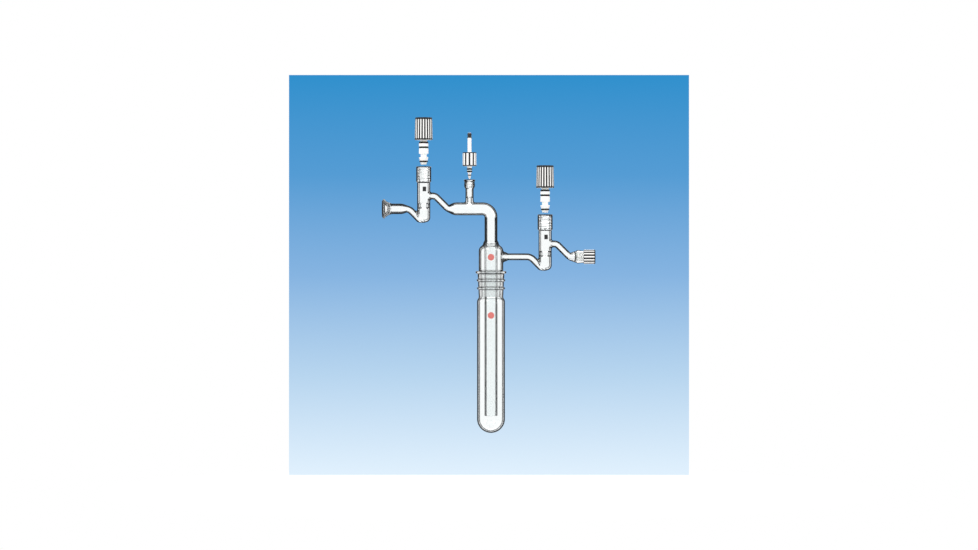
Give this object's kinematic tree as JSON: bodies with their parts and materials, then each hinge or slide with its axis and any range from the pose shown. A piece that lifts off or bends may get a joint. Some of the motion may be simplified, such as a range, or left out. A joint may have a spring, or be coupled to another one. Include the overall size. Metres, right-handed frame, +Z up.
{
  "type": "vacuum cold trap",
  "caption": "Glass cold trap with a ground joint, centre dip tube, two screw-plug vacuum valves, a hose vent valve, an O-ring inlet and a threaded outlet bushing.",
  "frame": {"origin": "on the trap tube's axis, at the height where a clamp or flask lid grips it below the ground joint", "axes": "+Z up along the trap tube, +X from the inlet valve towards the outlet valve, +Y to the back"},
  "size_m": [0.4051, 0.0582, 0.5991],
  "materials": {
    "glass": "clear borosilicate, ground at the joint",
    "ptfe": "turned PTFE",
    "resin": "moulded, ribbed",
    "rubber": "moulded"
  },
  "bodies": {
    "trap": {"trap_tube": "glass"},
    "head": {"joint_head": "glass", "dip_tube": "glass", "riser_elbow": "glass", "crossover_tube": "glass", "vent_port": "glass", "inlet_arm": "glass", "left_valve_body": "glass", "left_upper_arm": "glass", "side_arm": "glass", "right_valve_body": "glass", "outlet_arm": "glass", "inlet_oring": "rubber"},
    "left_plug": {"left_piston": "ptfe", "left_top_oring": "rubber", "left_middle_oring": "rubber", "left_tip_oring": "rubber", "left_clip": "ptfe"},
    "left_knob": {"left_knob": "resin"},
    "right_plug": {"right_piston": "ptfe", "right_top_oring": "rubber", "right_middle_oring": "rubber", "right_tip_oring": "rubber", "right_clip": "ptfe"},
    "right_knob": {"right_knob": "resin"},
    "vent_plug": {"vent_stem": "ptfe", "vent_top_oring": "rubber", "vent_middle_oring": "rubber", "vent_tip_oring": "rubber", "vent_clip": "ptfe"},
    "vent_knob": {"vent_knob": "resin"},
    "outlet_seal": {"outlet_oring": "rubber", "outlet_washer": "ptfe"},
    "outlet_bushing": {"outlet_bushing": "resin"}
  },
  "joints": [
    {"name": "head_lift", "type": "slide", "parent": "trap", "child": "head", "axis": [0, 0, 1], "range_m": [0, 0.28]},
    {"name": "left_plug_screw", "type": "slide", "parent": "head", "child": "left_plug", "axis": [0, 0, 1], "range_m": [-0.079, 0]},
    {"name": "left_knob_turn", "type": "hinge", "parent": "left_plug", "child": "left_knob", "pos_m": [-0.1279, 0, 0.2761], "axis": [0, 0, 1], "range_deg": [-5700, 0]},
    {"name": "right_plug_screw", "type": "slide", "parent": "head", "child": "right_plug", "axis": [0, 0, 1], "range_m": [-0.079, 0]},
    {"name": "right_knob_turn", "type": "hinge", "parent": "right_plug", "child": "right_knob", "pos_m": [0.1028, 0, 0.185], "axis": [0, 0, 1], "range_deg": [-5700, 0]},
    {"name": "vent_screw", "type": "slide", "parent": "head", "child": "vent_plug", "axis": [0, 0, 1], "range_m": [-0.0423, 0]},
    {"name": "vent_knob_turn", "type": "hinge", "parent": "vent_plug", "child": "vent_knob", "pos_m": [-0.0408, 0, 0.2513], "axis": [0, 0, 1], "range_deg": [-5100, 0]},
    {"name": "outlet_screw", "type": "slide", "parent": "head", "child": "outlet_seal", "axis": [1, 0, 0], "range_m": [0, 0.018]},
    {"name": "outlet_bushing_turn", "type": "hinge", "parent": "outlet_seal", "child": "outlet_bushing", "pos_m": [0.17601, 0, 0.1045], "axis": [1, 0, 0], "range_deg": [0, 2200]}
  ],
  "couplings": [
    {"joint": "left_knob_turn", "follows": "left_plug_screw", "rad_per_m": 1256.6},
    {"joint": "right_knob_turn", "follows": "right_plug_screw", "rad_per_m": 1256.6},
    {"joint": "vent_knob_turn", "follows": "vent_screw", "rad_per_m": 2094.4},
    {"joint": "outlet_bushing_turn", "follows": "outlet_screw", "rad_per_m": 2094.4}
  ]
}
